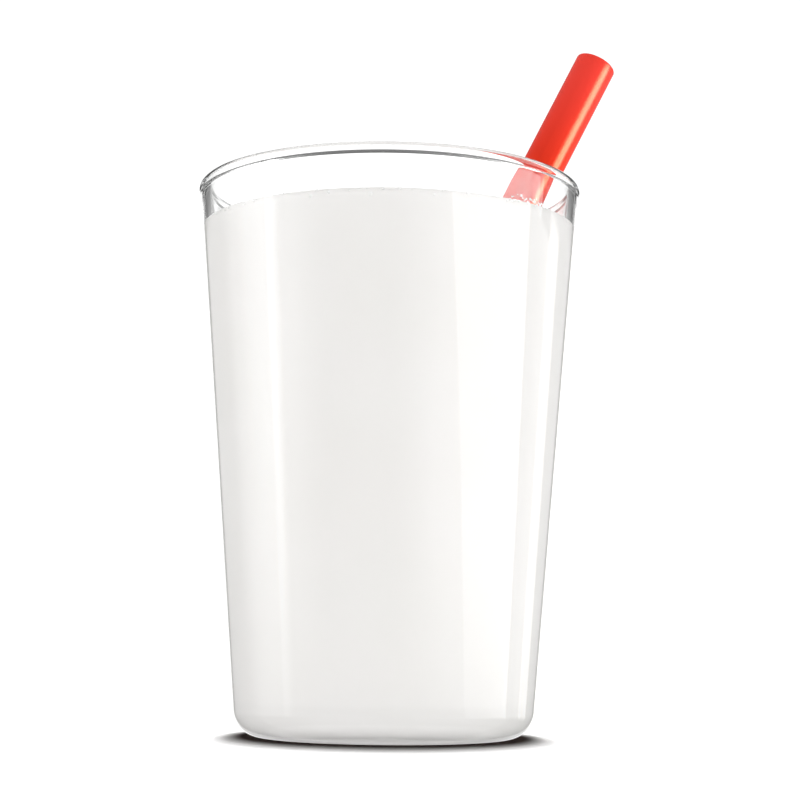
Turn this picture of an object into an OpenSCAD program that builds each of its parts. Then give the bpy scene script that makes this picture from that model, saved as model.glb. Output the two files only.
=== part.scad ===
// Glass of milk: a plain tapered tumbler, filled with milk, with a drinking straw leaning in it.
// The origin is the centre of the standing ring, on the table. Z points up.
// The front is -Y. The straw stands in the left of the glass and leans to the right and a little back.

/* [Glass] */
// Outer diameter at the rolled rim
rim_diameter = 70; // [62:0.5:90]
// Height from the table to the top of the rim
glass_height = 99.4; // [80:0.2:130]
// Diameter that the outer wall would have at the table, before its heel is rounded
base_diameter = 53; // [42:0.5:60]
// Thickness of the wall, square to its surface
wall = 1.6; // [1.2:0.1:2.4]
// Height of the inside floor above the table
base_thickness = 2.6; // [2:0.1:8]

/* [Rim] */
// How far the rolled bead along the rim stands out of the outer wall
rim_lip = 0.3; // [0.1:0.05:0.6]
// How far the same bead stands in from the inner wall
rim_roll = 0.2; // [0.1:0.05:0.5]

/* [Foot] */
// Rounding from the outer wall to the standing ring
heel_radius = 5; // [3:0.25:8]
// Rounding from the inner wall to the inside floor
bowl_radius = 4.5; // [2:0.25:7]
// Width of the flat ring that the glass stands on
ring_width = 4; // [2:0.5:6]
// Height of the hollow inside that ring, at its middle
hollow_height = 1; // [0.4:0.1:1.4]

/* [Milk] */
// Depth of the milk's level surface below the top of the rim
fill_drop = 9; // [6:0.5:50]
// How far the milk climbs the glass at its edge
meniscus_rise = 1.5; // [0.5:0.1:2]
// Width of the curved edge, from the level surface to the glass
meniscus_reach = 2.2; // [2:0.1:3]
// Thickness of the milk's edge, where it ends against the glass
meniscus_edge = 0.1; // [0.05:0.05:0.3]

/* [Straw] */
// Outer diameter of the straw
straw_diameter = 8; // [5:0.25:10]
// Thickness of the straw's wall
straw_wall = 0.4; // [0.25:0.05:0.8]
// Length of the straw
straw_length = 141; // [125:1:210]
// Direction from the glass's axis to the straw's foot, anticlockwise from +X
foot_bearing = 180.8; // [150:0.2:210]
// Direction from the glass's axis to where the straw leans on the rim
rim_bearing = 28; // [0:1:60]
// Clearance of the straw from the floor, the wall and the rim that hold it
straw_gap = 0.1; // [0.05:0.05:0.3]

/* [Hidden] */
$fn = 96;

// The rolled rim's section is a circle, a little wider than the wall.
bead_r = (wall + rim_lip + rim_roll) / 2;
bead_x = rim_diameter / 2 - bead_r;
bead_z = glass_height - bead_r;

// The wall's slope, from the table to the middle of the bead
draft = atan((rim_diameter / 2 - rim_lip - base_diameter / 2) / bead_z);
function outer_r(z) = base_diameter / 2 + z * tan(draft);
function inner_r(z) = outer_r(z) - wall / cos(draft);

// Centres of the two rounding arcs, each tangent to its wall and to its floor
heel_x = outer_r(heel_radius) - heel_radius / cos(draft);
bowl_z = base_thickness + bowl_radius;
bowl_x = inner_r(bowl_z) - bowl_radius / cos(draft);

// Radius of the space inside the glass at a height
function cavity_r(z) =
    z > bowl_z - bowl_radius * sin(draft)
        ? inner_r(z)
        : bowl_x + sqrt(pow(bowl_radius, 2) - pow(bowl_z - z, 2));

// Radius of an arc from its chord's half width and its height
function arc_radius(half_width, height) = (pow(half_width, 2) + pow(height, 2)) / (2 * height);
hollow_arc = arc_radius(heel_x - ring_width, hollow_height);

// The milk's level surface, the top of its curved edge and that edge's arc
milk_level = glass_height - fill_drop;
milk_top = milk_level + meniscus_rise;
meniscus_arc = arc_radius(meniscus_reach, meniscus_rise);
meniscus_x = inner_r(milk_top) - meniscus_edge - meniscus_reach;

// The straw stands in the bowl's corner and leans on the bead. Its foot is set by its tilt and its
// tilt by its foot, so the two are worked out in turn until they agree.
straw_r = straw_diameter / 2;
lean_reach = straw_r + bead_r + straw_gap;
rim_way = [cos(rim_bearing), sin(rim_bearing), 0];
bead_point = bead_x * rim_way + [0, 0, bead_z];

// Centre of the straw's lower end: the end's lowest point is over the floor and its highest by the wall
function foot_at(tilt) =
    let (half_rise = straw_r * sin(tilt))
    let (z = base_thickness + straw_gap + half_rise)
    let (r = cavity_r(z + half_rise) - straw_gap - straw_r * cos(tilt))
    [r * cos(foot_bearing), r * sin(foot_bearing), z];

// Point on the straw's axis that is nearest to the bead, square to both
function lean_point(foot) =
    let (way = bead_point - foot)
    let (out = way * rim_way)
    let (turn = acos(lean_reach / norm([out, way.z])) - atan2(way.z, out))
    bead_point - lean_reach * (cos(turn) * rim_way - [0, 0, sin(turn)]);

function tilt_of(way) = atan2(norm([way.x, way.y]), way.z);
function settled_tilt(tilt, rounds) =
    rounds == 0
        ? tilt
        : settled_tilt(tilt_of(lean_point(foot_at(tilt)) - foot_at(tilt)), rounds - 1);

straw_foot = foot_at(settled_tilt(25, 6));
straw_way = lean_point(straw_foot) - straw_foot;
straw_tilt = tilt_of(straw_way);
straw_bearing = atan2(straw_way.y, straw_way.x);
// The tube's seam lies at its side, clear of the tips of the oval that it cuts in the milk's surface
seam_turn = 90;

// Half section of a tapered round body with a rounded lower corner, up to the height of the bead
module tapered_section(floor_z, corner_x, corner_r, top_r) {
    corner_z = floor_z + corner_r;
    polygon([
        [0, floor_z],
        [corner_x, floor_z],
        [corner_x + corner_r * cos(draft), corner_z - corner_r * sin(draft)],
        [top_r, bead_z],
        [0, bead_z]
    ]);
    translate([corner_x, corner_z])
        circle(corner_r);
}

module outside_section() {
    tapered_section(0, heel_x, heel_radius, outer_r(bead_z));
}

module cavity_section() {
    tapered_section(base_thickness, bowl_x, bowl_radius, inner_r(bead_z));
}

// Below the milk's surface: level in the middle, then a hollow arc up to its thin edge by the glass
module below_surface_section() {
    difference() {
        square([rim_diameter / 2, milk_top]);
        translate([0, milk_level])
            square([meniscus_x, meniscus_rise]);
        translate([meniscus_x, milk_level + meniscus_arc])
            circle(meniscus_arc);
    }
}

module straw_section() {
    translate([straw_r - straw_wall, straw_wall / 2])
        square([straw_wall, straw_length - straw_wall]);
    for (z = [straw_wall / 2, straw_length - straw_wall / 2])
        translate([straw_r - straw_wall / 2, z])
            circle(straw_wall / 2);
}

module straw_tube() {
    translate(straw_foot)
        rotate([0, straw_tilt, straw_bearing])
            rotate(seam_turn)
                rotate_extrude()
                    straw_section();
}

module glass() {
    color([0.86, 0.91, 0.93, 0.4])
        rotate_extrude() {
            difference() {
                outside_section();
                cavity_section();
                translate([0, hollow_height - hollow_arc])
                    circle(hollow_arc);
            }
            translate([bead_x, bead_z])
                circle(bead_r);
        }
}

module milk() {
    color([0.96, 0.95, 0.92])
        difference() {
            rotate_extrude()
                intersection() {
                    cavity_section();
                    below_surface_section();
                }
            straw_tube();
        }
}

module straw() {
    color([0.9, 0.16, 0.09])
        straw_tube();
}

glass();
milk();
straw();
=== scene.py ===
"""A tumbler of milk with a straw: the looks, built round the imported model.

Every new piece is a surface worked out with numpy on a grid of two parameters. Lengths are in metres.
"""

import math

import bpy
import numpy as np
from mathutils import Matrix, Vector


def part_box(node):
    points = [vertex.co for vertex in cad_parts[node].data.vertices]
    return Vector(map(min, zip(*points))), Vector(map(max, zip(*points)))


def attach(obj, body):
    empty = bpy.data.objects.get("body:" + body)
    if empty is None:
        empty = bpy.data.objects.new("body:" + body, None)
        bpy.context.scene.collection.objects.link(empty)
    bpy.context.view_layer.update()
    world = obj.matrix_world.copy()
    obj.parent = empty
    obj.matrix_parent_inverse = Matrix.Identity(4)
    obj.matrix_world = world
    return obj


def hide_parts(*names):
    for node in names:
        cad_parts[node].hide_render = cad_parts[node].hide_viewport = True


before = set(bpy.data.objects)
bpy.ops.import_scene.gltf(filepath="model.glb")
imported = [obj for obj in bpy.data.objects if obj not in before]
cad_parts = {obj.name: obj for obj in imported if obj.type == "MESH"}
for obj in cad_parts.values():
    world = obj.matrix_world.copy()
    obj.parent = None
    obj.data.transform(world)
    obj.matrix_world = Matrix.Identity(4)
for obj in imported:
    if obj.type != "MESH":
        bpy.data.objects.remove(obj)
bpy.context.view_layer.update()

MM = 0.001
SEED = 11

# The glass: its wall, rim and foot, as in the part
BASE_RADIUS = 26.5 * MM
WALL = 1.6 * MM
RIM_LIP = 0.3 * MM
RIM_ROLL = 0.2 * MM
HEEL_RADIUS = 5.0 * MM
BOWL_RADIUS = 4.5 * MM
RING_WIDTH = 4.0 * MM
HOLLOW_HEIGHT = 1.0 * MM
# Radius of the fillets between the rim's bead and the wall, and the rounding inside the standing ring
NECK_RADIUS = 1.2 * MM
RING_EDGE = 0.1 * MM

# The milk: its curved edge, as in the part, and how far it reaches into the wall of the glass
MENISCUS_RISE = 1.5 * MM
MENISCUS_REACH = 2.2 * MM
MENISCUS_EDGE = 0.1 * MM
MILK_BITE = 0.08 * MM
# Radii of the innermost rings of the milk's mesh, at its bottom and on its surface
BOTTOM_RING = 1.0 * MM
SURFACE_RING = 0.3 * MM

# The straw: its wall, as in the part, how high the milk climbs it, and over what distance that dies away
STRAW_WALL = 0.4 * MM
STRAW_CLIMB = 0.7 * MM
STRAW_REACH = 0.9 * MM
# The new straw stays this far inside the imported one
HAIR = 0.01 * MM

# How far each bubble reaches into the wall of the glass, and how many there are by the straw and all round
BUBBLE_BITE = 0.3 * MM
ROW_BUBBLES = 30
LOOSE_BUBBLES = 90

# Points round each piece, and along the glass's straight walls, its rounded corners, the straw and a bubble
GLASS_AROUND = 320
MILK_AROUND = 360
STRAW_AROUND = 96
WALL_ROWS = 45
CORNER_ROWS = 33
STRAW_ROWS = 90
BUBBLE_ROWS = 12
BUBBLE_AROUND = 18

STRAW_RED = (0.93, 0.029, 0.006)
STRAW_RED_STREAK = (0.89, 0.025, 0.005)
# Painted reflection: the pinker red the straw turns above the glass's rim, fading in over the length below
STRAW_TOP_PAINTED_REFLECTION = (0.90, 0.048, 0.036)
STRAW_REFLECTION_BLEND = 30.0 * MM

glass_low, glass_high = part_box("glass")
milk_low, milk_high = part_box("milk")
RIM_RADIUS = glass_high.x
GLASS_HEIGHT = glass_high.z
BASE_THICKNESS = milk_low.z
MILK_TOP = milk_high.z
MILK_LEVEL = MILK_TOP - MENISCUS_RISE
BEAD_RADIUS = (WALL + RIM_LIP + RIM_ROLL) / 2
BEAD_X = RIM_RADIUS - BEAD_RADIUS
BEAD_Z = GLASS_HEIGHT - BEAD_RADIUS
# The wall's slope, from the table to the middle of the bead
DRAFT = math.atan((RIM_RADIUS - RIM_LIP - BASE_RADIUS) / BEAD_Z)


def outer_radius(z):
    """Radius of the outer wall at height z: the rim's less its lip, less the draft's share below the bead."""
    return RIM_RADIUS - RIM_LIP - (BEAD_Z - z) * math.tan(DRAFT)


def inner_radius(z):
    """Radius of the inner wall at height z: the outer wall's less the wall's thickness, taken level."""
    return outer_radius(z) - WALL / math.cos(DRAFT)


# ---------------------------------------------------------------- surfaces


def arc(centre, radius, start, stop, steps):
    """Points (across, up) round a centre, from one angle to another in degrees from the outward way."""
    angle = np.radians(np.linspace(start, stop, steps))
    return np.stack([centre[0] + radius * np.cos(angle), centre[1] + radius * np.sin(angle)], axis=1)


def line(start, stop, steps):
    """Evenly spaced points from start to stop, without the last one."""
    share = np.linspace(0.0, 1.0, steps, endpoint=False)[:, None]
    return np.array(start) * (1 - share) + np.array(stop) * share


def turned(profile, around):
    """Grid of points from a profile of (radius, height) turned about Z in even steps."""
    angle = np.linspace(0.0, 2 * np.pi, around, endpoint=False)
    radius, height = profile[:, :1], profile[:, 1:]
    return np.stack([radius * np.cos(angle), radius * np.sin(angle), height + 0 * angle], axis=2)


def ring_quads(lower, upper):
    """Four-sided faces between two stacks of rings of point numbers, where each ring closes on itself."""
    corners = [lower, np.roll(lower, -1, axis=1), np.roll(upper, -1, axis=1), upper]
    return np.stack(corners, axis=2).reshape(-1, 4)


def pole_faces(index):
    """Faces over rings of point numbers whose first and last rings are each one point.

    Between them the faces are four-sided, and a fan of triangles closes each end."""
    first, last = index[1], index[-2]
    start = np.full_like(first, index[0, 0])
    stop = np.full_like(first, index[-1, 0])
    return [
        ring_quads(index[1:-2], index[2:-1]),
        np.stack([start, np.roll(first, -1), first], axis=1),
        np.stack([stop, last, np.roll(last, -1)], axis=1),
    ]


def skin(name, grid, poles):
    """Mesh from a grid of points (rows, columns, 3) whose rows are rings that close on themselves.

    With poles, the first and the last row are each one point. Without, the last row joins the first."""
    index = np.arange(grid.shape[0] * grid.shape[1]).reshape(grid.shape[:2])
    faces = pole_faces(index) if poles else [ring_quads(index, np.roll(index, -1, axis=0))]
    return mesh_object(name, grid.reshape(-1, 3), faces)


def mesh_object(name, points, faces):
    """Object from an array of points and a list of arrays of faces, without unused points."""
    used = np.unique(np.concatenate([f.ravel() for f in faces]))
    place = np.full(len(points), -1)
    place[used] = np.arange(len(used))
    corners = np.concatenate([place[f].ravel() for f in faces])
    sizes = np.concatenate([np.full(len(f), f.shape[1]) for f in faces])
    starts = np.concatenate([[0], np.cumsum(sizes)[:-1]])
    mesh = bpy.data.meshes.new(name)
    mesh.vertices.add(len(used))
    mesh.vertices.foreach_set("co", points[used].astype(np.float32).ravel())
    mesh.loops.add(len(corners))
    mesh.loops.foreach_set("vertex_index", corners.astype(np.int32))
    mesh.polygons.add(len(sizes))
    mesh.polygons.foreach_set("loop_start", starts.astype(np.int32))
    mesh.polygons.foreach_set("loop_total", sizes.astype(np.int32))
    mesh.update(calc_edges=True)
    mesh.validate()
    mesh.shade_smooth()
    obj = bpy.data.objects.new(name, mesh)
    bpy.context.scene.collection.objects.link(obj)
    return obj


# ---------------------------------------------------------------- the glass


def glass_profile():
    """Section of the glass, from under its middle, round the heel, up, over the rim and down inside.

    It is a chain of straight lines and tangent arcs. Each ends with its number of points."""
    slope = math.degrees(DRAFT)
    heel = (outer_radius(HEEL_RADIUS) - HEEL_RADIUS / math.cos(DRAFT), HEEL_RADIUS)
    ring_in = heel[0] - RING_WIDTH
    hollow = (ring_in ** 2 + HOLLOW_HEIGHT ** 2) / (2 * HOLLOW_HEIGHT)
    half = math.degrees(math.asin(ring_in / hollow))
    bowl_z = BASE_THICKNESS + BOWL_RADIUS
    bowl = (inner_radius(bowl_z) - BOWL_RADIUS / math.cos(DRAFT), bowl_z)
    out_side = (outer_radius(BEAD_Z) - BEAD_X) * math.cos(DRAFT)
    in_side = WALL - out_side

    def necked(side):
        """Angle below the bead's widest line where its neck fillet starts, and the fillet's drop."""
        drop = math.sqrt((BEAD_RADIUS + NECK_RADIUS) ** 2 - (side + NECK_RADIUS) ** 2)
        return math.degrees(math.atan2(drop, side + NECK_RADIUS)), drop

    out_angle, out_drop = necked(out_side)
    in_angle, in_drop = necked(in_side)
    up = np.array([math.sin(DRAFT), math.cos(DRAFT)])
    out = np.array([math.cos(DRAFT), -math.sin(DRAFT)])
    bead = np.array([BEAD_X, BEAD_Z])
    out_neck = bead + out * (out_side + NECK_RADIUS) - up * out_drop
    in_neck = bead - out * (in_side + NECK_RADIUS) - up * in_drop
    heel_end = arc(heel, HEEL_RADIUS, -slope, -slope, 1)[0]
    bowl_end = arc(bowl, BOWL_RADIUS, -slope, -slope, 1)[0]
    return np.concatenate([
        arc((0, HOLLOW_HEIGHT - hollow), hollow, 90, 90 - half, 25),
        line((ring_in + RING_EDGE, 0), (heel[0], 0), 5),
        arc(heel, HEEL_RADIUS, -90, -slope, CORNER_ROWS),
        line(heel_end, out_neck - out * NECK_RADIUS, WALL_ROWS)[1:],
        arc(out_neck, NECK_RADIUS, 180 - slope, 180 - slope - out_angle, 9),
        arc(bead, BEAD_RADIUS, -slope - out_angle, 180 - slope + in_angle, 49)[1:-1],
        arc(in_neck, NECK_RADIUS, in_angle - slope, -slope, 9),
        line(in_neck + out * NECK_RADIUS, bowl_end, WALL_ROWS)[1:],
        arc(bowl, BOWL_RADIUS, -slope, -90, CORNER_ROWS),
        line((bowl[0], BASE_THICKNESS), (0, BASE_THICKNESS), 17)[1:],
        [(0, BASE_THICKNESS)],
    ])


def make_glass():
    """The glass: its section turned about the upright axis, closed at its middle."""
    glass = skin("tumbler", turned(glass_profile(), GLASS_AROUND), poles=True)
    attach(glass, "root")
    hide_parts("glass")
    return glass


# ---------------------------------------------------------------- the milk


def straw_axis():
    """Middle, way up, half length and radius of the straw, from the points of its node.

    The way up is the direction in which the points spread furthest."""
    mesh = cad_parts["straw"].data
    points = np.empty(len(mesh.vertices) * 3, np.float32)
    mesh.vertices.foreach_get("co", points)
    points = np.unique(points.reshape(-1, 3).round(7).astype(float), axis=0)
    middle = points.mean(axis=0)
    way = np.linalg.svd(points - middle, full_matrices=False)[2][0]
    way = way * np.sign(way[2])
    along = (points - middle) @ way
    middle = middle + way * (along.min() + along.max()) / 2
    side = points - middle - np.outer((points - middle) @ way, way)
    return middle, way, (along.max() - along.min()) / 2 - HAIR, np.linalg.norm(side, axis=1).max() - HAIR


STRAW_MIDDLE, STRAW_WAY, STRAW_HALF, STRAW_RADIUS = straw_axis()


def from_straw(points):
    """Distance of each point from the straw's outside, square to its axis."""
    way = points - STRAW_MIDDLE
    side = way - (way @ STRAW_WAY)[..., None] * STRAW_WAY
    return np.linalg.norm(side, axis=-1) - STRAW_RADIUS


def milk_profile():
    """Section of the milk, a little way into the glass's wall, up to its edge and in over its surface.

    It is a chain of straight lines and arcs. Each ends with its number of points."""
    slope = math.degrees(DRAFT)
    bowl_z = BASE_THICKNESS + BOWL_RADIUS
    bowl = (inner_radius(bowl_z) - BOWL_RADIUS / math.cos(DRAFT), bowl_z)
    radius = BOWL_RADIUS + MILK_BITE
    bowl_end = arc(bowl, radius, -slope, -slope, 1)[0]
    edge = np.array([inner_radius(MILK_TOP), MILK_TOP])
    dish = (MENISCUS_REACH ** 2 + MENISCUS_RISE ** 2) / (2 * MENISCUS_RISE)
    dish_x = edge[0] - MENISCUS_EDGE - MENISCUS_REACH
    edge_angle = math.degrees(math.atan2(MENISCUS_RISE - dish, MENISCUS_REACH))
    return np.concatenate([
        [(0, bowl_z - radius)],
        line((BOTTOM_RING, bowl_z - radius), (bowl[0], bowl_z - radius), 12),
        arc(bowl, radius, -90, -slope, 25),
        line(bowl_end, edge + (MILK_BITE, 0), 60)[1:],
        [edge + (MILK_BITE, 0)],
        arc((dish_x, MILK_LEVEL + dish), dish, edge_angle, -90, 17),
        line((dish_x, MILK_LEVEL), (SURFACE_RING, MILK_LEVEL), 90)[1:],
        [(0, MILK_LEVEL)],
    ])


def make_milk():
    """The milk turned from its section, with its surface drawn up a little where it meets the straw.

    The rise at the straw falls off as the exponential of the distance from the straw's outside. The faces
    that look up are the open surface, and take the second material."""
    open_rise = 0.2
    profile = milk_profile()
    grid = turned(profile, MILK_AROUND)
    top = np.arange(len(profile)) > np.argmax(profile[:, 1])
    climb = STRAW_CLIMB * np.exp(-np.maximum(from_straw(grid), 0) / STRAW_REACH)
    grid[..., 2] = np.where(top[:, None], np.minimum(grid[..., 2] + climb, MILK_TOP), grid[..., 2])
    milk = skin("milk_fill", grid, poles=True)
    normals = np.empty(len(milk.data.polygons) * 3, np.float32)
    milk.data.polygons.foreach_get("normal", normals)
    upward = normals.reshape(-1, 3)[:, 2] > open_rise
    milk.data.polygons.foreach_set("material_index", upward.astype(np.int32))
    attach(milk, "root")
    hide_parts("milk")
    return milk


# ---------------------------------------------------------------- the straw


def make_straw():
    """A round tube with rounded lips: a closed section of (radius, length) turned about its axis."""
    lip = STRAW_WALL / 2
    mid = STRAW_RADIUS - lip
    end = STRAW_HALF - lip
    section = np.concatenate([
        line((STRAW_RADIUS, -end), (STRAW_RADIUS, end), STRAW_ROWS),
        arc((mid, end), lip, 0, 180, 9)[:-1],
        line((mid - lip, end), (mid - lip, -end), STRAW_ROWS),
        arc((mid, -end), lip, 180, 360, 9)[:-1],
    ])
    grid = turned(section, STRAW_AROUND)
    across = np.cross(STRAW_WAY, (0, 0, 1))
    across /= np.linalg.norm(across)
    turn = np.stack([across, np.cross(STRAW_WAY, across), STRAW_WAY])
    straw = skin("red_straw", grid @ turn + STRAW_MIDDLE, poles=False)
    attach(straw, "root")
    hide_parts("straw")
    return straw


# ---------------------------------------------------------------- bubbles


def bubble_places():
    """Bearing, height and radius of each bubble at the glass: a few large ones spread over the front, a
    row by the straw, and small ones at random all round.

    The tables hold bearings in degrees, and heights above the milk's edge and radii in millimetres."""
    rng = np.random.default_rng(SEED)
    few = np.array([
        (-113.5, -0.95, 0.34),
        (-108.0, -0.55, 0.24),
        (-95.5, -1.05, 0.46),
        (-77.0, -0.95, 0.30),
    ])
    row = np.stack([
        np.linspace(-52.0, -36.0, ROW_BUBBLES),
        rng.uniform(-0.2, 1.0, ROW_BUBBLES),
        rng.uniform(0.12, 0.26, ROW_BUBBLES),
    ], axis=1)
    loose = np.stack([
        rng.uniform(-180, 180, LOOSE_BUBBLES),
        rng.uniform(-0.5, 0.1, LOOSE_BUBBLES),
        rng.uniform(0.1, 0.26, LOOSE_BUBBLES),
    ], axis=1)
    bearing, height, radius = np.concatenate([few, row, loose]).T
    return np.radians(bearing), MILK_TOP + height * MM, radius * MM


def make_bubbles():
    """Small balls at the milk's edge, each a grid of latitude and longitude moved to its place.

    Each ball's middle lies so far in that the ball reaches a fixed small depth into the wall."""
    bearing, height, radius = bubble_places()
    middle = inner_radius(height) + BUBBLE_BITE - radius
    centre = np.stack([middle * np.cos(bearing), middle * np.sin(bearing), height], axis=1)
    rise = np.linspace(-np.pi / 2, np.pi / 2, BUBBLE_ROWS)[:, None]
    turn = np.linspace(0, 2 * np.pi, BUBBLE_AROUND, endpoint=False)
    level = np.cos(rise)
    ball = np.stack([level * np.cos(turn), level * np.sin(turn), np.sin(rise) + 0 * turn], axis=2)
    points = centre[:, None, None] + radius[:, None, None, None] * ball
    size = BUBBLE_ROWS * BUBBLE_AROUND
    shift = (np.arange(len(centre)) * size)[:, None, None]
    one_ball = pole_faces(np.arange(size).reshape(BUBBLE_ROWS, BUBBLE_AROUND))
    faces = [(f[None] + shift).reshape(-1, f.shape[1]) for f in one_ball]
    bubbles = mesh_object("milk_bubbles", points.reshape(-1, 3), faces)
    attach(bubbles, "root")
    return bubbles


# ---------------------------------------------------------------- finishes


class Nodes:
    """Short ways to add nodes to a tree. Every way but add and put returns the new node's output."""

    def __init__(self, tree):
        self.tree = tree

    def add(self, kind, **settings):
        """New node of a kind, with its settings."""
        node = self.tree.nodes.new(kind)
        for name, value in settings.items():
            setattr(node, name, value)
        return node

    def put(self, socket, value):
        """Links an output to a socket, or sets the socket to a plain value."""
        if isinstance(value, bpy.types.NodeSocket):
            self.tree.links.new(value, socket)
        else:
            socket.default_value = value

    def math(self, operation, *values):
        """Output of one Math node on its values."""
        node = self.add("ShaderNodeMath", operation=operation)
        for socket, value in zip(node.inputs, values):
            self.put(socket, value)
        return node.outputs[0]

    def step(self, value, start, stop, low=0.0, high=1.0):
        """Smooth step of value, from low at start to high at stop."""
        node = self.add("ShaderNodeMapRange", interpolation_type="SMOOTHSTEP")
        names = ("Value", "From Min", "From Max", "To Min", "To Max")
        for name, given in zip(names, (value, start, stop, low, high)):
            self.put(node.inputs[name], given)
        return node.outputs[0]

    def add_mix(self, share, first, second):
        """first where share is 0, second where it is 1."""
        node = self.add("ShaderNodeMix", data_type="FLOAT")
        for socket, value in zip((node.inputs[0], node.inputs[2], node.inputs[3]), (share, first, second)):
            self.put(socket, value)
        return node.outputs[0]

    def blend(self, share, first, second):
        """Colour first where share is 0, second where it is 1; each a colour or a socket."""
        node = self.add("ShaderNodeMix", data_type="RGBA")
        for socket, value in zip((node.inputs[0], node.inputs[6], node.inputs[7]), (share, first, second)):
            self.put(socket, (*value, 1.0) if isinstance(value, tuple) else value)
        return node.outputs[2]

    def total(self, *values):
        """All the values added up."""
        so_far = values[0]
        for value in values[1:]:
            so_far = self.math("ADD", so_far, value)
        return so_far

    def product(self, *values):
        """All the values multiplied together."""
        so_far = values[0]
        for value in values[1:]:
            so_far = self.math("MULTIPLY", so_far, value)
        return so_far


def finish_material(name, grain, first, second, stretch=(1.0, 1.0, 1.0), turn=None):
    """New material, its node helper and Principled shader, its colour clouded from first to second.

    The clouds are a noise of the object's own coordinates, grain to the metre, scaled by stretch."""
    material = bpy.data.materials.new(name)
    material.use_nodes = True
    n = Nodes(material.node_tree)
    shader = material.node_tree.nodes["Principled BSDF"]
    place = n.add("ShaderNodeMapping", vector_type="TEXTURE")
    n.put(place.inputs["Vector"], n.add("ShaderNodeTexCoord").outputs["Object"])
    place.inputs["Scale"].default_value = stretch
    if turn:
        place.inputs["Rotation"].default_value = turn
    noise = n.add("ShaderNodeTexNoise")
    n.put(noise.inputs["Vector"], place.outputs[0])
    noise.inputs["Scale"].default_value = grain
    noise.inputs["Detail"].default_value = 3.0
    clouds = n.step(noise.outputs[0], 0.3, 0.7)
    n.put(shader.inputs["Base Color"], n.blend(clouds, first, second))
    return material, n, shader


def clear_glass():
    """Smooth clear glass, its tint clouded by a hair."""
    material, _, shader = finish_material("clear_glass", 60.0, (1.0, 1.0, 1.0), (0.99, 0.995, 0.99))
    shader.inputs["Roughness"].default_value = 0.0
    shader.inputs["IOR"].default_value = 1.5
    shader.inputs["Transmission Weight"].default_value = 1.0
    return material


def fresh_milk(name, gloss):
    """White milk with faint clouds: without gloss against the glass, and wet on its open surface."""
    material, _, shader = finish_material(name, 45.0, (0.905, 0.893, 0.88), (0.895, 0.882, 0.866))
    shader.inputs["Roughness"].default_value = 0.12
    shader.inputs["Specular IOR Level"].default_value = gloss
    return material


def bubble_film():
    """The wet, near white skin of the bubbles."""
    material, _, shader = finish_material("bubble_film", 900.0, (1.0, 1.0, 1.0), (0.97, 0.97, 0.96))
    shader.inputs["Roughness"].default_value = 0.1
    shader.inputs["Specular IOR Level"].default_value = 0.6
    return material


def red_plastic():
    """Red plastic with faint lengthwise streaks, and a painted pinkish reflection towards its upper end."""
    tilt = math.acos(STRAW_WAY[2])
    aim = math.atan2(STRAW_WAY[1], STRAW_WAY[0])
    along = (1.0, 1.0, 60.0)
    material, n, shader = finish_material(
        "red_plastic", 900.0, STRAW_RED, STRAW_RED_STREAK, along, (0.0, tilt, aim))
    split = n.add("ShaderNodeSeparateXYZ")
    n.put(split.inputs[0], n.add("ShaderNodeTexCoord").outputs["Object"])
    # Painted reflection: above the glass's rim the colour is blended towards a pinker red
    upper = n.step(split.outputs["Z"], GLASS_HEIGHT, GLASS_HEIGHT + STRAW_REFLECTION_BLEND)
    streaks = shader.inputs["Base Color"].links[0].from_socket
    n.put(shader.inputs["Base Color"], n.blend(upper, streaks, STRAW_TOP_PAINTED_REFLECTION))
    shader.inputs["Roughness"].default_value = 0.25
    shader.inputs["Specular IOR Level"].default_value = 0.65
    shader.inputs["Specular Tint"].default_value = (1.0, 0.8, 0.42, 1.0)
    return material


def paint(obj, *materials):
    """Gives an object its materials, in the order of its faces' material numbers."""
    for material in materials:
        obj.data.materials.append(material)


# ---------------------------------------------------------------- the studio

# The camera: its lens and sensor in millimetres, its place, and its turns in degrees
CAMERA_LENS = 80.478
CAMERA_SENSOR = 36.0
CAMERA_PLACE = (0, -0.3233, 0.01943)
CAMERA_TURN = -0.411
CAMERA_RISE = 7.233
CAMERA_ROLL = 0.601
CAMERA_CLIP = 10.0 * MM

# The floor: its half width, and the shadow painted into its colour, which starts at a radius and fades out
# over a width.
# Both are larger to the front of the glass, by the second number.
FLOOR_REACH = 30.0
SHADE_START = (24.8 * MM, 0.7 * MM)
SHADE_WIDTH = (7.5 * MM, 12.5 * MM)
SHADE_FRONT_POWER = 1.4
# Colour of the painted contact shadow
SHADE_COLOUR = (0.045, 0.034, 0.031)
FLOOR_COLOUR = (2.0, 2.0, 2.0)
FLOOR_CLOUD = (1.96, 1.96, 1.96)

# Brightness of the backdrop that the camera sees, of the faint glow all round, of the room in blurred
# reflections, and of the glow that lights the milk, with what it gains to the right and keeps below
BACKDROP_GLOW = 1.1
FAINT_GLOW = 0.3
BLURRED_GLOW = 0.25
MILK_GLOW = 1.97
MILK_GLOW_RIGHT = 0.12
MILK_GLOW_BELOW = 0.42


def make_camera():
    """Camera low in front of the glass, looking slightly up, with a long lens a foot away."""
    data = bpy.data.cameras.new("camera")
    data.sensor_width = CAMERA_SENSOR
    data.lens = CAMERA_LENS
    data.clip_start = CAMERA_CLIP
    camera = bpy.data.objects.new("camera", data)
    bpy.context.scene.collection.objects.link(camera)
    camera.matrix_world = (
        Matrix.Translation(CAMERA_PLACE)
        @ Matrix.Rotation(math.radians(CAMERA_TURN), 4, "Z")
        @ Matrix.Rotation(math.radians(90.0 + CAMERA_RISE), 4, "X")
        @ Matrix.Rotation(math.radians(CAMERA_ROLL), 4, "Z")
    )
    bpy.context.scene.camera = camera


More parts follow.
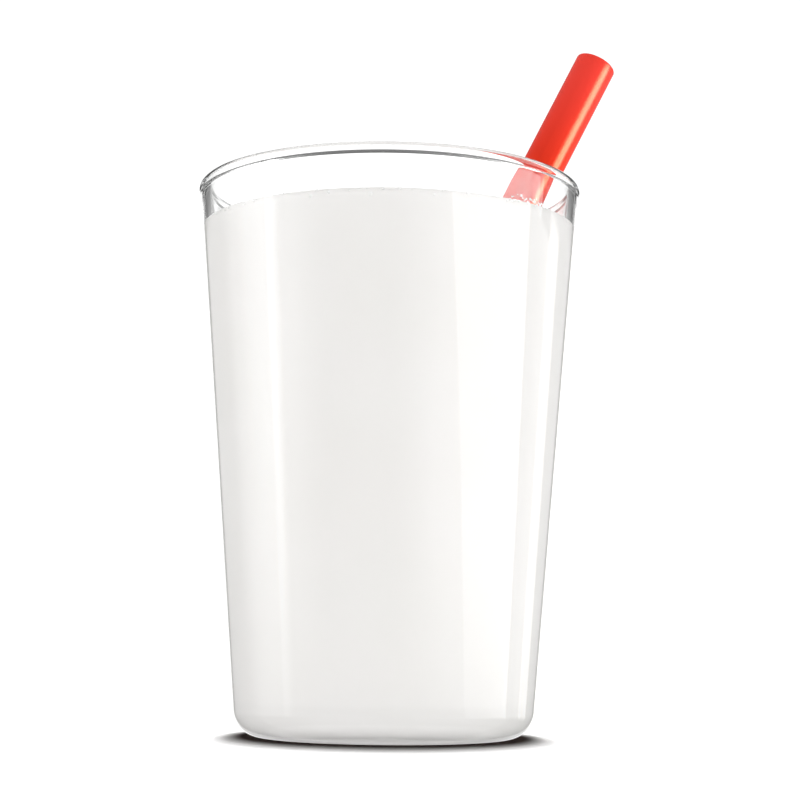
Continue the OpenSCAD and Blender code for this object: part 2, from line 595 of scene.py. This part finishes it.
def make_floor():
    """A wide pale floor, its colour painted dark as a contact shadow where it nears the glass and some way
    further to its front.

    The painted shadow is a smooth step of the distance from the glass's axis. How far a point is to the front
    is the cosine of its bearing from there, raised to a power."""
    mesh = bpy.data.meshes.new("floor")
    corners = [(x * FLOOR_REACH, y * FLOOR_REACH, 0) for x, y in ((-1, -1), (1, -1), (1, 1), (-1, 1))]
    mesh.from_pydata(corners, [], [(0, 1, 2, 3)])
    floor = bpy.data.objects.new("floor", mesh)
    bpy.context.scene.collection.objects.link(floor)
    material, n, shader = finish_material("pale_floor", 8.0, FLOOR_COLOUR, FLOOR_CLOUD)
    split = n.add("ShaderNodeSeparateXYZ")
    n.put(split.inputs[0], n.add("ShaderNodeTexCoord").outputs["Object"])
    x, y = split.outputs["X"], split.outputs["Y"]
    radius = n.math("SQRT", n.math("MULTIPLY_ADD", x, x, n.math("MULTIPLY", y, y)))
    front = n.math("MAXIMUM", n.math("DIVIDE", n.math("MULTIPLY", y, -1.0), radius), 0.0)
    front = n.math("POWER", front, SHADE_FRONT_POWER)
    start = n.math("MULTIPLY_ADD", front, SHADE_START[1], SHADE_START[0])
    width = n.math("MULTIPLY_ADD", front, SHADE_WIDTH[1], SHADE_WIDTH[0])
    share = n.step(n.math("DIVIDE", n.math("SUBTRACT", radius, start), width), 0.0, 1.0)
    pale = shader.inputs["Base Color"].links[0].from_socket
    matt = n.add("ShaderNodeBsdfDiffuse")
    # Painted shadow: the floor's colour runs from the dark shadow colour by the glass to the pale colour
    # further out
    n.put(matt.inputs["Color"], n.blend(share, SHADE_COLOUR, pale))
    n.put(material.node_tree.nodes["Material Output"].inputs["Surface"], matt.outputs[0])
    paint(floor, material)
    floor.visible_glossy = False
    floor.visible_transmission = False


def far_light(name, bearing, rise, spread, energy):
    """Soft parallel light from a bearing and a rise, spread over an angle; not seen in the glass."""
    data = bpy.data.lights.new(name, "SUN")
    data.angle = math.radians(spread)
    data.energy = energy
    light = bpy.data.objects.new(name, data)
    around, up = math.radians(bearing), math.radians(rise)
    way = Vector((math.sin(around) * math.cos(up), -math.cos(around) * math.cos(up), math.sin(up)))
    light.matrix_world = Matrix.Translation(way) @ way.to_track_quat("Z", "Y").to_matrix().to_4x4()
    light.visible_glossy = False
    light.visible_transmission = False
    bpy.context.scene.collection.objects.link(light)


class Sky(Nodes):
    """Nodes of the world, with the bearing and the rise of each direction in degrees.

    Bearings go from the camera's side, positive to its right. The lean is the rise, but no lower than a
    set one."""
    LOWEST_LEAN = -14.0

    def __init__(self, tree):
        super().__init__(tree)
        split = self.add("ShaderNodeSeparateXYZ")
        self.put(split.inputs[0], self.add("ShaderNodeTexCoord").outputs["Generated"])
        self.x, y, z = split.outputs
        degree = math.degrees(1)
        self.bearing = self.product(self.math("ARCTAN2", self.x, self.product(y, -1.0)), degree)
        self.rise = self.product(self.math("ARCSINE", z), degree)
        self.apart = self.math("ABSOLUTE", self.bearing)
        self.lean = self.math("MAXIMUM", self.rise, self.LOWEST_LEAN)

    def up(self, start, stop, low=0.0, high=1.0):
        """Smooth step of the rise, from low at start to high at stop."""
        return self.step(self.rise, start, stop, low, high)

    def away(self, start, stop, low=0.0, high=1.0):
        """Smooth step of the bearing to either side, from low at start to high at stop."""
        return self.step(self.apart, start, stop, low, high)

    def lamp(self, strength, left, right, soft, *fades):
        """Brightness of a lamp between two edges of bearing: its strength times its edges and its fades.

        An edge is its bearing at level height and its shift for each degree of rise. soft holds the half
        widths over which the left and the right edge blur."""
        left_edge = self.math("MULTIPLY_ADD", self.lean, left[1], left[0])
        right_edge = self.math("MULTIPLY_ADD", self.lean, right[1], right[0])
        from_left = self.step(self.math("SUBTRACT", self.bearing, left_edge), -soft[0], soft[0])
        from_right = self.step(self.math("SUBTRACT", right_edge, self.bearing), -soft[1], soft[1])
        return self.product(from_left, from_right, *fades, strength)


def side_lamps(sky):
    """The lamps at both sides: a box with a corner and a tail, a dimmer gap and a thin streak at the
    right, and a box with a tail at the left."""
    low_enough = sky.up(45.0, 35.0)
    high_enough = sky.up(-16.0, -5.0)
    left_fade = sky.product(low_enough, sky.up(-17.0, 2.0))
    corner_fades = (sky.up(7.3, 7.8), sky.up(45.0, 30.0))
    right_box = sky.lamp(3.6, (44.5, -1.6), (97.8, -0.7), (1.0, 1.5), sky.up(12.0, 8.0), high_enough)
    right_corner = sky.lamp(3.0, (60.0, 0.0), (104.5, 0.0), (8.0, 1.0), *corner_fades)
    tail_edges = (sky.step(sky.bearing, 0.0, 50.0), sky.step(sky.bearing, 75.0, 60.0))
    right_tail = sky.product(*tail_edges, low_enough, high_enough, 2.0)
    right_lamps = sky.math("MAXIMUM", sky.math("MAXIMUM", right_box, right_corner), right_tail)
    right_gap = sky.lamp(1.3, (96.0, -0.7), (121.0, -0.5), (2.0, 2.0), sky.up(7.8, 7.3), high_enough)
    streak = sky.lamp(1.6, (119.0, -0.5), (132.0, -0.5), (1.5, 2.0), sky.up(9.0, 8.2), high_enough)
    left_box = sky.lamp(3.3, (-104.0, 0.0), (-73.0, 0.0), (22.0, 5.0), left_fade)
    left_tail = sky.lamp(1.7, (-80.0, 0.0), (-54.0, 0.0), (1.0, 18.0), left_fade)
    return sky.total(right_lamps, left_box, left_tail, right_gap, streak)


def grey_room(sky):
    """The room round the lamps: grey to the camera's side and at the sides, darker above, with a pale
    card behind the glass and a pale table under it."""
    card = sky.math("MINIMUM", sky.up(26.0, 22.0, 0.13, 1.35), sky.up(-14.0, -8.0, 0.7, 1.35))
    backdrop = sky.product(sky.away(157.0, 162.0), card)
    side_fades = (sky.up(-16.0, 6.0, 0.03, 0.72), sky.up(9.6, 11.2, 1.0, 0.42))
    sides = sky.product(sky.away(157.0, 150.0), *side_fades)
    near = sky.away(55.0, 100.0, 0.8, 0.4)
    room = sky.product(sky.add_mix(sky.away(104.0, 114.0), near, sides), sky.up(40.0, 20.0, 0.15, 1.0))
    table = sky.up(-32.0, -45.0, 0.0, 0.85)
    return sky.total(table, backdrop, room)


def make_world():
    """The studio round the glass, as a brightness for each direction.

    Sharp reflections see the lamps and the room, and blurred ones see one large lamp and a faint glow.
    What lights the milk through its glass is an even glow. All else has a faint glow."""
    world = bpy.data.worlds.new("studio")
    bpy.context.scene.world = world
    world.use_nodes = True
    sky = Sky(world.node_tree)
    mirrored = sky.total(side_lamps(sky), grey_room(sky))
    large_fades = (sky.up(-30.0, -22.0), sky.up(15.0, 5.0))
    large_lamp = sky.lamp(13.0, (58.0, 0.0), (90.0, 0.0), (6.0, 8.0), *large_fades)
    blurred = sky.total(large_lamp, BLURRED_GLOW)
    underside = sky.up(-60.0, 0.0, MILK_GLOW_BELOW, 1.0)
    fill = sky.product(sky.math("MULTIPLY_ADD", sky.x, MILK_GLOW_RIGHT, MILK_GLOW), underside)

    ray = sky.add("ShaderNodeLightPath").outputs
    after_matt = sky.math("GREATER_THAN", ray["Diffuse Depth"], 0.5)
    before_matt = sky.math("LESS_THAN", ray["Diffuse Depth"], 0.5)
    in_glass = sky.math("MAXIMUM", ray["Is Transmission Ray"], ray["Is Glossy Ray"])
    through = sky.product(after_matt, ray["Is Transmission Ray"])
    direct = sky.product(before_matt, in_glass)
    glow = sky.add_mix(through, FAINT_GLOW, fill)
    seen = sky.add_mix(ray["Is Singular Ray"], blurred, mirrored)
    light = sky.add_mix(ray["Is Camera Ray"], sky.add_mix(direct, glow, seen), BACKDROP_GLOW)
    background = world.node_tree.nodes["Background"]
    background.inputs["Color"].default_value = (1.0, 1.0, 1.0, 1.0)
    sky.put(background.inputs["Strength"], light)


glass = make_glass()
milk = make_milk()
straw = make_straw()
bubbles = make_bubbles()
paint(glass, clear_glass())
paint(milk, fresh_milk("milk_body", 0.0), fresh_milk("milk_surface", 0.5))
paint(bubbles, bubble_film())
paint(straw, red_plastic())
make_camera()
make_floor()
far_light("overhead", bearing=180.0, rise=78.0, spread=26.0, energy=2.4)
make_world()
bpy.context.scene.view_settings.view_transform = "Standard"
